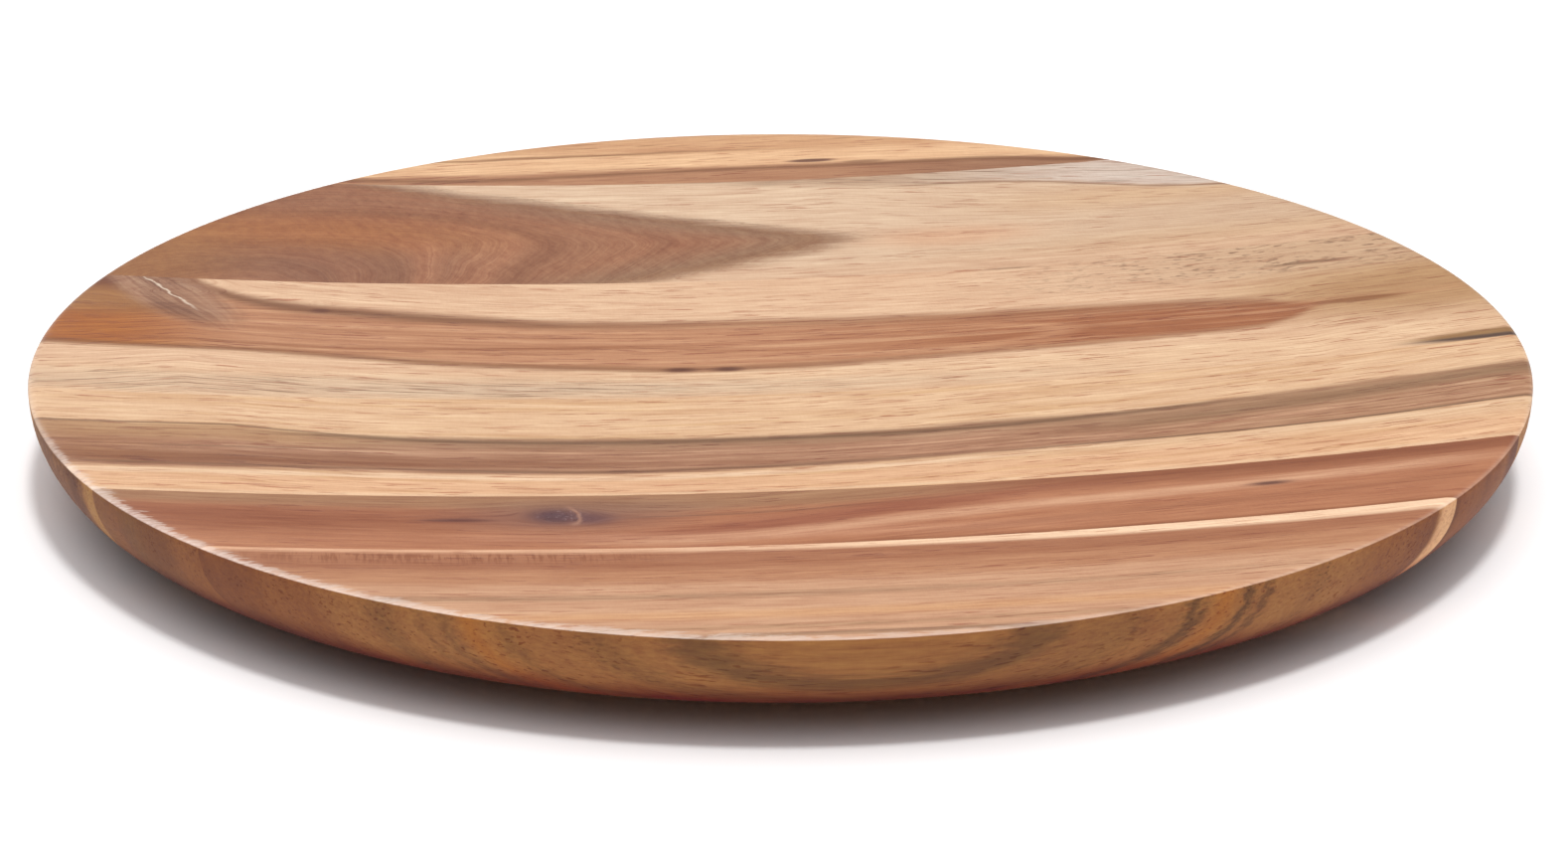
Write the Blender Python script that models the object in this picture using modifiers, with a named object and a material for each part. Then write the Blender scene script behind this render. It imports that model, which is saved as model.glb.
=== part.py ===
"""A dished wooden lazy susan on a low ring bearing.

Metres, +Z up. The origin is on the table, under the centre of the board. The staves of the
board run along X. The outer bearing ring stands still on rubber feet; the board turns with the
inner ring, and the balls and their cage follow at about half that speed.
"""

import math

import bmesh
import bpy
from mathutils import Matrix, Vector

# Board
BOARD_RADIUS = 0.2286
BOARD_BOTTOM = 0.0100
BOARD_THICKNESS = 0.0240
RIM_TOP = BOARD_BOTTOM + BOARD_THICKNESS
DISH_DEPTH = 0.0109
DISH_RINGS = 6
RIM_ROUND_WIDTH = 0.0040
RIM_ROUND_HEIGHT = 0.0012
RIM_STEPS = 5
UNDERCUT_WIDTH = 0.0309
UNDERCUT_HEIGHT = 0.0277
UNDERCUT_STEPS = 7
BOARD_SEGMENTS = 120

# Staves, from the rear edge (+Y) to the front edge: the glue lines between them
STAVE_NAMES = ("stave_1_rear", "stave_2", "stave_3", "stave_4", "stave_5", "stave_6_front")
GLUE_LINES = (0.1836, 0.0933, -0.0114, -0.0983, -0.1456)
GLUE_GAP = 0.0003

# Bearing
BALL_RADIUS = 0.00238
BALL_COUNT = 24
BALL_CIRCLE = 0.1297
BALL_HEIGHT = 0.0057
RACE_CLEARANCE = 0.0003
LIP_GAP = 0.0013
RING_SEGMENTS = 96
RING_CHAMFER = 0.0004
INNER_RING_BORE = 0.1090
INNER_RING_BOTTOM = 0.0024
INNER_RING_TOP = BOARD_BOTTOM - GLUE_GAP
OUTER_RING_RADIUS = 0.1500
OUTER_RING_BOTTOM = 0.0018
OUTER_RING_TOP = 0.0092
INNER_LIP = BALL_CIRCLE - LIP_GAP
OUTER_LIP = BALL_CIRCLE + LIP_GAP

# Ball cage
CAGE_WALL = 0.0013
CAGE_HALF_HEIGHT = 0.0036
POCKET_RADIUS = 0.00275
POCKET_SEGMENTS = 12

# Screws that hold the board to the inner ring
SCREW_COUNT = 6
SCREW_CIRCLE = 0.1180
SCREW_START = math.radians(30)
SCREW_LENGTH = 0.0155
SCREW_RADIUS = 0.0016
SCREW_TIP = 0.0035
SCREW_SEGMENTS = 16
HEAD_RADIUS = 0.0035
HEAD_HEIGHT = 0.0022
HEAD_EDGE = 0.0003
HEAD_FACE = INNER_RING_BOTTOM + 0.0001
FIT_GAP = 0.0003
RECESS_LENGTH = 0.0036
RECESS_WIDTH = 0.0008
RECESS_DEPTH = 0.0014

# Feet and the fixing holes of the outer ring
FOOT_COUNT = 6
FOOT_CIRCLE = 0.1405
FOOT_RADIUS = 0.0065
FOOT_HEIGHT = 0.0022
FOOT_ROUND = 0.0005
FOOT_SEGMENTS = 20
FOOT_START = math.radians(30)
FIXING_HOLE_RADIUS = 0.0021

# Plug of the hole through which the balls were fed
PLUG_ANGLE = math.radians(75)
PLUG_RADIUS = 0.00225
PLUG_HOLE_RADIUS = 0.00255
PLUG_INNER_END = 0.1345
PLUG_OUTER_END = 0.1496
SOCKET_RADIUS = 0.0013
SOCKET_DEPTH = 0.0030
SOCKET_SIDES = 6
PLUG_SEGMENTS = 20

CUT_MARGIN = 0.0010
MERGE_DISTANCE = 0.00001

# The mean colour of each stave's wood, in linear values
STAVE_COLOURS = (
    (0.61, 0.36, 0.21),
    (0.56, 0.35, 0.23),
    (0.64, 0.39, 0.23),
    (0.66, 0.41, 0.26),
    (0.47, 0.22, 0.13),
    (0.59, 0.32, 0.19),
)


def clear_scene():
    for obj in list(bpy.data.objects):
        bpy.data.objects.remove(obj)


def new_collection(name):
    collection = bpy.data.collections.new(name)
    bpy.context.scene.collection.children.link(collection)
    return collection


def new_material(name, colour, roughness, metallic=0.0):
    material = bpy.data.materials.new(name)
    material.use_nodes = True
    shader = material.node_tree.nodes["Principled BSDF"]
    shader.inputs["Base Color"].default_value = (*colour, 1.0)
    shader.inputs["Roughness"].default_value = roughness
    shader.inputs["Metallic"].default_value = metallic
    return material


def add_mesh(name, build, collection, material=None):
    """An object whose mesh is made by build(bm)."""
    bm = bmesh.new()
    build(bm)
    mesh = bpy.data.meshes.new(name)
    bm.to_mesh(mesh)
    bm.free()
    obj = bpy.data.objects.new(name, mesh)
    collection.objects.link(obj)
    if material:
        mesh.materials.append(material)
    return obj


def as_cutter(obj):
    obj.hide_render = True
    obj.display_type = "WIRE"
    return obj


def add_screw_turn(obj, segments):
    turn = obj.modifiers.new("turn", "SCREW")
    turn.axis = "Z"
    turn.steps = segments
    turn.render_steps = segments
    turn.use_merge_vertices = True
    turn.merge_threshold = MERGE_DISTANCE
    turn.use_smooth_shade = True


def turned(name, profile, segments, collection, material=None, closed=False):
    """A turned solid. The profile is (radius, height) points, down the outer side."""

    def build(bm):
        points = [bm.verts.new((r, 0.0, z)) for r, z in profile]
        for a, b in zip(points, points[1:]):
            bm.edges.new((a, b))
        if closed:
            bm.edges.new((points[-1], points[0]))

    obj = add_mesh(name, build, collection, material)
    add_screw_turn(obj, segments)
    return obj


def boolean(obj, cutter, operation="DIFFERENCE"):
    cut = obj.modifiers.new(cutter.name, "BOOLEAN")
    cut.operation = operation
    cut.object = cutter


def flatten_shading(collection):
    """Keeps the flat faces flat beside the smooth-shaded round ones."""
    for obj in collection.objects:
        if obj.type == "MESH":
            obj.modifiers.new("flat_faces", "WEIGHTED_NORMAL")


def add_pivot(name, collection, moving):
    """An empty on the turning axis, with the moving pieces as its children."""
    pivot = bpy.data.objects.new(name, None)
    collection.objects.link(pivot)
    for obj in moving:
        obj.parent = pivot


def around(radius, angle, height=0.0):
    return Vector((radius * math.cos(angle), radius * math.sin(angle), height))


def ellipse_arc(centre, radii, start, end, steps):
    """Points (radius, height) on an ellipse, with the angles in radians."""
    for i in range(steps + 1):
        angle = start + (end - start) * i / steps
        yield centre[0] + radii[0] * math.cos(angle), centre[1] + radii[1] * math.sin(angle)


def dish_height(radius):
    return RIM_TOP - DISH_DEPTH * (1 - (radius / BOARD_RADIUS) ** 2)


def board_profile():
    """Centre of the dish, out to the rounded rim, down the undercut side, back to the centre."""
    flat = BOARD_RADIUS - RIM_ROUND_WIDTH
    dish = [(flat * i / DISH_RINGS, dish_height(flat * i / DISH_RINGS)) for i in range(DISH_RINGS)]
    shoulder = RIM_TOP - RIM_ROUND_HEIGHT
    rim_size = (RIM_ROUND_WIDTH, RIM_ROUND_HEIGHT)
    rim = list(ellipse_arc((flat, shoulder), rim_size, math.pi / 2, 0, RIM_STEPS))
    fall = math.asin((shoulder - BOARD_BOTTOM) / UNDERCUT_HEIGHT)
    centre = (BOARD_RADIUS - UNDERCUT_WIDTH, shoulder)
    side = ellipse_arc(centre, (UNDERCUT_WIDTH, UNDERCUT_HEIGHT), 0, -fall, UNDERCUT_STEPS)
    return dish + rim + list(side)[1:] + [(0.0, BOARD_BOTTOM)]


def stave_edges():
    """(front, rear) Y of each stave, with the outer two running past the board."""
    past = BOARD_RADIUS + CUT_MARGIN
    lines = (past, *GLUE_LINES, -past)
    for rear, front in zip(lines, lines[1:]):
        yield front + GLUE_GAP / 2, rear - GLUE_GAP / 2


def screw_places():
    return [SCREW_START + i * math.tau / SCREW_COUNT for i in range(SCREW_COUNT)]


def foot_places():
    return [FOOT_START + i * math.tau / FOOT_COUNT for i in range(FOOT_COUNT)]


def add_cylinder(bm, radius, bottom, top, place, segments):
    """An upright cylinder at place, between two heights."""
    middle = Vector((place.x, place.y, (bottom + top) / 2))
    bmesh.ops.create_cone(
        bm,
        cap_ends=True,
        segments=segments,
        radius1=radius,
        radius2=radius,
        depth=top - bottom,
        matrix=Matrix.Translation(middle),
    )


def make_pilot_holes(cutters):
    """Blind holes in the staves, a little larger and deeper than the screws."""

    def build(bm):
        for angle in screw_places():
            place = around(SCREW_CIRCLE, angle)
            bottom = BOARD_BOTTOM - CUT_MARGIN
            top = HEAD_FACE + SCREW_LENGTH + FIT_GAP
            add_cylinder(bm, SCREW_RADIUS + FIT_GAP, bottom, top, place, SCREW_SEGMENTS)

    return as_cutter(add_mesh("cut_pilot_holes", build, cutters))


def make_staves(parts, cutters):
    blank = as_cutter(turned("cut_board_blank", board_profile(), BOARD_SEGMENTS, cutters))
    holes = make_pilot_holes(cutters)
    height = BOARD_THICKNESS + 2 * CUT_MARGIN
    staves = []
    for name, colour, (front, rear) in zip(STAVE_NAMES, STAVE_COLOURS, stave_edges()):
        size = Vector((2 * (BOARD_RADIUS + CUT_MARGIN), rear - front, height))
        centre = Vector((0.0, (front + rear) / 2, (BOARD_BOTTOM + RIM_TOP) / 2))

        def build(bm, size=size):
            bmesh.ops.create_cube(bm, size=1.0, matrix=Matrix.Diagonal((*size, 1.0)))

        stave = add_mesh(name, build, parts, new_material(name, colour, 0.45))
        stave.location = centre
        boolean(stave, blank, "INTERSECT")
        if any(front < around(SCREW_CIRCLE, a).y < rear for a in screw_places()):
            boolean(stave, holes)
        staves.append(stave)
    return staves


def groove(lip, away):
    """The three points of a V groove, top to bottom. away is +1 for the outer ring."""
    apex = BALL_CIRCLE + away * (BALL_RADIUS + RACE_CLEARANCE) * math.sqrt(2)
    half = abs(apex - lip)
    return [(lip, BALL_HEIGHT + half), (apex, BALL_HEIGHT), (lip, BALL_HEIGHT - half)]


def inner_ring_profile():
    c = RING_CHAMFER
    bottom, top = INNER_RING_BOTTOM, INNER_RING_TOP
    bore = [
        (INNER_RING_BORE + c, bottom),
        (INNER_RING_BORE, bottom + c),
        (INNER_RING_BORE, top - c),
        (INNER_RING_BORE + c, top),
    ]
    return [(INNER_LIP, top), *groove(INNER_LIP, -1), (INNER_LIP, bottom), *bore]


def outer_ring_profile():
    c = RING_CHAMFER
    bottom, top = OUTER_RING_BOTTOM, OUTER_RING_TOP
    rim = [
        (OUTER_RING_RADIUS - c, top),
        (OUTER_RING_RADIUS, top - c),
        (OUTER_RING_RADIUS, bottom + c),
        (OUTER_RING_RADIUS - c, bottom),
    ]
    return [*rim, (OUTER_LIP, bottom), *reversed(groove(OUTER_LIP, 1)), (OUTER_LIP, top)]


def countersink_profile(face, far, hole, into):
    """Cutter for a countersunk hole. into is +1 where the screw goes up from the face."""
    head = HEAD_RADIUS + FIT_GAP
    points = [
        (0.0, far + into * CUT_MARGIN),
        (hole, far + into * CUT_MARGIN),
        (hole, face + into * (HEAD_HEIGHT + FIT_GAP)),
        (head, face + into * (HEAD_EDGE + FIT_GAP)),
        (head, face - into * CUT_MARGIN),
        (0.0, face - into * CUT_MARGIN),
    ]
    return points if into > 0 else points[::-1]


def cut_countersinks(ring, name, profile, circle, places, cutters):
    for number, angle in enumerate(places, 1):
        cutter = turned(f"{name}_{number}", profile, SCREW_SEGMENTS, cutters)
        cutter.location = around(circle, angle)
        boolean(ring, as_cutter(cutter))


def make_inner_ring(parts, cutters, metal):
    profile = inner_ring_profile()
    ring = turned("bearing_ring_inner", profile, RING_SEGMENTS, parts, metal, closed=True)
    hole = countersink_profile(INNER_RING_BOTTOM, INNER_RING_TOP, SCREW_RADIUS + FIT_GAP, 1)
    cut_countersinks(ring, "cut_inner_hole", hole, SCREW_CIRCLE, screw_places(), cutters)
    return ring


def make_foot_seats(cutters):
    def build(bm):
        for angle in foot_places():
            place = around(FOOT_CIRCLE, angle)
            bottom = OUTER_RING_BOTTOM - CUT_MARGIN
            top = FOOT_HEIGHT + FIT_GAP
            add_cylinder(bm, FOOT_RADIUS + FIT_GAP, bottom, top, place, FOOT_SEGMENTS)

    return as_cutter(add_mesh("cut_foot_seats", build, cutters))


def radial_matrix(angle, middle):
    """Lays a mesh made along Z out along a radius of the ball plane."""
    turn = Matrix.Rotation(angle, 4, "Z") @ Matrix.Rotation(math.pi / 2, 4, "Y")
    return Matrix.Translation(around(middle, angle, BALL_HEIGHT)) @ turn


def add_radial_cylinder(bm, radius, inner, outer, angle, segments):
    bmesh.ops.create_cone(
        bm,
        cap_ends=True,
        segments=segments,
        radius1=radius,
        radius2=radius,
        depth=outer - inner,
        matrix=radial_matrix(angle, (inner + outer) / 2),
    )


def make_outer_ring(parts, cutters, metal):
    """The still ring, with fixing holes halfway between its feet."""
    profile = outer_ring_profile()
    ring = turned("bearing_ring_outer", profile, RING_SEGMENTS, parts, metal, closed=True)
    hole = countersink_profile(OUTER_RING_TOP, OUTER_RING_BOTTOM, FIXING_HOLE_RADIUS, -1)
    between_feet = [angle + math.pi / FOOT_COUNT for angle in foot_places()]
    cut_countersinks(ring, "cut_outer_hole", hole, FOOT_CIRCLE, between_feet, cutters)
    boolean(ring, make_foot_seats(cutters))

    def feed_hole(bm):
        ends = (BALL_CIRCLE, OUTER_RING_RADIUS + CUT_MARGIN)
        add_radial_cylinder(bm, PLUG_HOLE_RADIUS, *ends, PLUG_ANGLE, PLUG_SEGMENTS)

    boolean(ring, as_cutter(add_mesh("cut_feed_hole", feed_hole, cutters)))


def make_plug(parts, cutters, metal):
    def body(bm):
        ends = (PLUG_INNER_END, PLUG_OUTER_END)
        add_radial_cylinder(bm, PLUG_RADIUS, *ends, PLUG_ANGLE, PLUG_SEGMENTS)

    def socket(bm):
        inner = PLUG_OUTER_END - SOCKET_DEPTH
        outer = PLUG_OUTER_END + CUT_MARGIN
        add_radial_cylinder(bm, SOCKET_RADIUS, inner, outer, PLUG_ANGLE, SOCKET_SIDES)

    plug = add_mesh("ball_feed_plug", body, parts, metal)
    boolean(plug, as_cutter(add_mesh("cut_plug_socket", socket, cutters)))


def ball_places():
    return [i * math.tau / BALL_COUNT for i in range(BALL_COUNT)]


def make_balls(parts, steel):
    def build(bm):
        bmesh.ops.create_icosphere(bm, subdivisions=2, radius=BALL_RADIUS)
        for face in bm.faces:
            face.smooth = True

    first = add_mesh("ball_01", build, parts, steel)
    balls = [first]
    for number in range(2, BALL_COUNT + 1):
        ball = bpy.data.objects.new(f"ball_{number:02d}", first.data)
        parts.objects.link(ball)
        balls.append(ball)
    for ball, angle in zip(balls, ball_places()):
        ball.location = around(BALL_CIRCLE, angle, BALL_HEIGHT)
    return balls


def make_cage(parts, cutters, nylon):
    inner, outer = BALL_CIRCLE - CAGE_WALL / 2, BALL_CIRCLE + CAGE_WALL / 2
    bottom, top = BALL_HEIGHT - CAGE_HALF_HEIGHT, BALL_HEIGHT + CAGE_HALF_HEIGHT
    section = [(outer, top), (outer, bottom), (inner, bottom), (inner, top)]
    cage = turned("ball_cage", section, RING_SEGMENTS, parts, nylon, closed=True)

    def pockets(bm):
        for angle in ball_places():
            ends = (inner - CUT_MARGIN, outer + CUT_MARGIN)
            add_radial_cylinder(bm, POCKET_RADIUS, *ends, angle, POCKET_SEGMENTS)

    boolean(cage, as_cutter(add_mesh("cut_ball_pockets", pockets, cutters)))
    return cage


def screw_profile():
    """Tip to head, with the head's outer face at height 0."""
    return [
        (0.0, SCREW_LENGTH),
        (SCREW_RADIUS, SCREW_LENGTH - SCREW_TIP),
        (SCREW_RADIUS, HEAD_HEIGHT),
        (HEAD_RADIUS, HEAD_EDGE),
        (HEAD_RADIUS, 0.0),
        (0.0, 0.0),
    ]


def make_screws(parts, cutters, metal):
    """Countersunk wood screws, point up, each with a cross recess cut by two crossing bars."""

    def bar(bm):
        size = (RECESS_LENGTH, RECESS_WIDTH, 2 * RECESS_DEPTH, 1.0)
        bmesh.ops.create_cube(bm, size=1.0, matrix=Matrix.Diagonal(size))

    screws = []
    for number, angle in enumerate(screw_places(), 1):
        screw = turned(f"board_screw_{number}", screw_profile(), SCREW_SEGMENTS, parts, metal)
        screw.location = around(SCREW_CIRCLE, angle, HEAD_FACE)
        for side, turn in (("a", 0.0), ("b", math.pi / 2)):
            cutter = as_cutter(add_mesh(f"cut_recess_{number}{side}", bar, cutters))
            cutter.location = screw.location
            cutter.rotation_euler.z = turn
            boolean(screw, cutter)
        screws.append(screw)
    return screws


def make_feet(parts, rubber):
    profile = [
        (0.0, FOOT_HEIGHT),
        (FOOT_RADIUS, FOOT_HEIGHT),
        (FOOT_RADIUS, FOOT_ROUND),
        (FOOT_RADIUS - FOOT_ROUND, 0.0),
        (0.0, 0.0),
    ]
    for number, angle in enumerate(foot_places(), 1):
        foot = turned(f"foot_{number}", profile, FOOT_SEGMENTS, parts, rubber)
        foot.location = around(FOOT_CIRCLE, angle)


def main():
    clear_scene()
    parts = new_collection("lazy_susan")
    cutters = new_collection("cutters")
    aluminium = new_material("aluminium", (0.72, 0.73, 0.74), 0.35, 1.0)
    steel = new_material("ball_steel", (0.80, 0.80, 0.82), 0.12, 1.0)
    zinc = new_material("zinc_steel", (0.66, 0.67, 0.68), 0.3, 1.0)
    nylon = new_material("nylon", (0.05, 0.05, 0.055), 0.5)
    rubber = new_material("rubber", (0.03, 0.03, 0.03), 0.85)
    staves = make_staves(parts, cutters)
    inner_ring = make_inner_ring(parts, cutters, aluminium)
    screws = make_screws(parts, cutters, zinc)
    balls = make_balls(parts, steel)
    cage = make_cage(parts, cutters, nylon)
    make_outer_ring(parts, cutters, aluminium)
    make_plug(parts, cutters, zinc)
    make_feet(parts, rubber)
    flatten_shading(parts)
    add_pivot("turntable_pivot", parts, [*staves, inner_ring, *screws])
    add_pivot("ball_set_pivot", parts, [cage, *balls])


main()
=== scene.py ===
"""A dished lazy susan of glued acacia staves on a low ring bearing, on a plain white table.

The staves are rebuilt here as fine turned solids and carry the wood. The bearing, its balls,
the screws and the feet are the frame's own pieces with finished materials.
"""

import math

import bmesh
import bpy
from mathutils import Matrix, Vector


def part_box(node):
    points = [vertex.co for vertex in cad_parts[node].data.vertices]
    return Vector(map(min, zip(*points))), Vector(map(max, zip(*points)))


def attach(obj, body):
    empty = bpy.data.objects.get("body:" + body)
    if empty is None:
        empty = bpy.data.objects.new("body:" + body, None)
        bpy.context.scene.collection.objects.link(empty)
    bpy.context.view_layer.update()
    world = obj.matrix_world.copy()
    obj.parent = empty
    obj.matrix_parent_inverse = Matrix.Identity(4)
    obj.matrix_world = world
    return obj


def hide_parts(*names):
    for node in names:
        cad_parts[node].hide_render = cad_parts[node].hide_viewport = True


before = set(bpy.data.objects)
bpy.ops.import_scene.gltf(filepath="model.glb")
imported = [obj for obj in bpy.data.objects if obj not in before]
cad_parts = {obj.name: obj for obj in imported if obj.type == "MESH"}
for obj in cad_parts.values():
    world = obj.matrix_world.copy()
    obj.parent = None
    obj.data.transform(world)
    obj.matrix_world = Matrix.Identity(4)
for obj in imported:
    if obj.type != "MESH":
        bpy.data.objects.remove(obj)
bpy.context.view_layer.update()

# Board, in metres: its size and glue lines come from the frame, and its rim is finer than the CAD's
STAVES = ("stave_1_rear", "stave_2", "stave_3", "stave_4", "stave_5", "stave_6_front")
RIM_TOP = max(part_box(name)[1][2] for name in STAVES)
BOARD_BOTTOM = min(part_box(name)[0][2] for name in STAVES)
BOARD_RADIUS = max(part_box(name)[1][0] for name in STAVES)
DISH_DEPTH = 0.0109
DISH_RINGS = 36
RIM_ROUND_WIDTH = 0.0025
RIM_ROUND_HEIGHT = 0.0005
RIM_STEPS = 8
UNDERCUT_WIDTH = 0.0309
UNDERCUT_HEIGHT = 0.0285
UNDERCUT_STEPS = 16
UNDERSIDE_RINGS = (0.204, 0.150, 0.075)
BOARD_SEGMENTS = 480
SHARP_ANGLE = 35.0

# Camera: the distance in board radii, angles in degrees, the lens in mm
CAMERA_DISTANCE = 6.2612
CAMERA_AZIMUTH = 6.06
CAMERA_ELEVATION = 19.398
CAMERA_TILT_DOWN = 0.973
CAMERA_TURN_RIGHT = 0.042
LENS = 106.97
SENSOR_WIDTH = 36.0

# Light: the sky's strength rises from the horizon to the zenith as a power of the height
SKY_LOW = 0.02
SKY_RISE = 2.10
SKY_POWER = 2.5
SKY_COLOUR = (1.02, 0.985, 0.995)
SUN = 1.45
SUN_ANGLE = 8.0
SUN_FROM_FRONT = 12.0
SUN_FROM_RIGHT = 3.0
SOFTBOX_POWER = 16.0
SOFTBOX_SIZE = 0.8
SOFTBOX_PLACE = (-0.70, 0.84, 1.17)

# What that light does to the dish: white wood would show as LIGHT_LEVEL, plus the gloss's SHEEN
LIGHT_LEVEL = 1.335
SHEEN = 0.038

# Stage, in metres
FLOOR_SIZE = 6.0
FLOOR_COLOUR = (0.92, 0.92, 0.92, 1.0)
BACKDROP_RADIUS = FLOOR_SIZE * 0.97
BACKDROP_COLOUR = (0.86, 0.86, 0.87, 1.0)
MATT = {"Roughness": 0.9, "Specular IOR Level": 0.0}

# Shader nodes: lengths in mm, a curve node's width in mm, and how noise is spread and seeded
MM = 1000.0
CURVE_SPAN = 480.0
NOISE_SPREAD = 2.6
SEED_STEPS = (7.3, 3.1, 5.7)

# Wood finish: the tints are multiplied in, and the bumps are in metres
DARKENING = (0.62, 1.0, 1.15)
SIDE_TINT = (0.59, 0.412, 0.168)
PALE_SIDE_TINT = (0.84, 0.64, 0.46)
WOOD_BUMP = 0.00006
MACHINED_BUMP = 0.00001
NYLON_BUMP = 0.00002
RUBBER_BUMP = 0.00004


def linear(colour):
    """Linear values of a colour given as a display shows it."""
    return tuple(c / 12.92 if c <= 0.04045 else ((c + 0.055) / 1.055) ** 2.4 for c in colour)


def wood(red, green, blue):
    """The base colour of wood that shows as this colour in the finished picture."""
    return tuple(max(c - SHEEN, 0.01) / LIGHT_LEVEL for c in linear((red, green, blue)))


# ---------------------------------------------------------------- shader arithmetic


class Value:
    """A number in a shader, with arithmetic that adds Math nodes."""

    def __init__(self, tree, socket):
        self.tree = tree
        self.socket = socket

    def math(self, operation, *others):
        return math_node(self.tree, operation, self, *others)

    def __add__(self, other):
        return self.math("ADD", other)

    __radd__ = __add__

    def __sub__(self, other):
        return self.math("SUBTRACT", other)

    def __rsub__(self, other):
        return math_node(self.tree, "SUBTRACT", other, self)

    def __mul__(self, other):
        return self.math("MULTIPLY", other)

    def __truediv__(self, other):
        return self.math("DIVIDE", other)

    def sqrt(self):
        return self.math("SQRT")

    def absolute(self):
        return self.math("ABSOLUTE")

    def least(self, other):
        return self.math("MINIMUM", other)

    def most(self, other):
        return self.math("MAXIMUM", other)

    def step(self, soft):
        """0 below zero and 1 above, over a soft width."""
        node = self.tree.nodes.new("ShaderNodeMapRange")
        node.interpolation_type = "SMOOTHSTEP"
        self.tree.links.new(self.socket, node.inputs["Value"])
        node.inputs["From Min"].default_value = -soft / 2
        node.inputs["From Max"].default_value = soft / 2
        return Value(self.tree, node.outputs["Result"])


def plug(tree, value, socket):
    """Links a shader value to a socket, or sets a plain number or colour on it."""
    if isinstance(value, Value):
        tree.links.new(value.socket, socket)
    elif isinstance(value, tuple) and len(socket.default_value) == 4:
        socket.default_value = (*value, 1.0)
    else:
        socket.default_value = value


def math_node(tree, operation, *values, kind="ShaderNodeMath"):
    node = tree.nodes.new(kind)
    node.operation = operation
    for value, socket in zip(values, node.inputs):
        plug(tree, value, socket)
    return Value(tree, node.outputs[0])


def vector_math(tree, operation, *values):
    return math_node(tree, operation, *values, kind="ShaderNodeVectorMath")


def hypotenuse(a, b):
    return (a * a + b * b).sqrt()


class Paint:
    """A Principled material whose colour, roughness and bump are built up from object space."""

    def __init__(self, name, **settings):
        self.material = bpy.data.materials.new(name)
        self.material.use_nodes = True
        self.tree = self.material.node_tree
        self.shader = self.tree.nodes["Principled BSDF"]
        for key, value in settings.items():
            self.shader.inputs[key].default_value = value
        where = self.tree.nodes.new("ShaderNodeTexCoord")
        split = self.tree.nodes.new("ShaderNodeSeparateXYZ")
        self.tree.links.new(where.outputs["Object"], split.inputs[0])
        self.x, self.y, self.z = (Value(self.tree, out) * MM for out in split.outputs)
        self.grain = self.vector(self.x, self.y, self.z)

    def vector(self, x, y, z):
        node = self.tree.nodes.new("ShaderNodeCombineXYZ")
        for value, socket in zip((x, y, z), node.inputs):
            plug(self.tree, value, socket)
        return Value(self.tree, node.outputs[0])

    def noise(self, lengths, detail, seed, roughness=0.5, at=None):
        """Noise about -1 to 1, with a feature length in mm along each axis."""
        scale = [1.0 / length for length in lengths]
        shift = [seed * step for step in SEED_STEPS]
        place = vector_math(self.tree, "MULTIPLY_ADD", at or self.grain, scale, shift)
        node = self.tree.nodes.new("ShaderNodeTexNoise")
        plug(self.tree, place, node.inputs["Vector"])
        node.inputs["Scale"].default_value = 1.0
        node.inputs["Detail"].default_value = detail
        node.inputs["Roughness"].default_value = roughness
        return (Value(self.tree, node.outputs[0]) - 0.5) * NOISE_SPREAD

    def mix(self, base, colour, mask):
        """Lays a colour over another where the mask is 1."""
        node = self.tree.nodes.new("ShaderNodeMix")
        node.data_type = "RGBA"
        node.clamp_factor = True
        plug(self.tree, mask, node.inputs[0])
        plug(self.tree, base, node.inputs[6])
        plug(self.tree, colour, node.inputs[7])
        return Value(self.tree, node.outputs[2])

    def shaded(self, colour, tone):
        """Lightens a colour by a share, or darkens it; darker wood is also warmer."""
        tones = self.vector(tone, tone, tone)
        return self.tinted(
            colour, vector_math(self.tree, "MULTIPLY_ADD", tones, DARKENING, (1.0, 1.0, 1.0))
        )

    def tinted(self, colour, tint):
        return vector_math(self.tree, "MULTIPLY", colour, tint)

    def scaled(self, colour, factor):
        return self.tinted(colour, self.vector(factor, factor, factor))

    def bump(self, height, distance):
        node = self.tree.nodes.new("ShaderNodeBump")
        plug(self.tree, height, node.inputs["Height"])
        node.inputs["Distance"].default_value = distance
        node.inputs["Strength"].default_value = 1.0
        self.tree.links.new(node.outputs[0], self.shader.inputs["Normal"])

    def finish(self, colour, roughness):
        plug(self.tree, colour, self.shader.inputs["Base Color"])
        plug(self.tree, roughness, self.shader.inputs["Roughness"])
        return self.material


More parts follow.
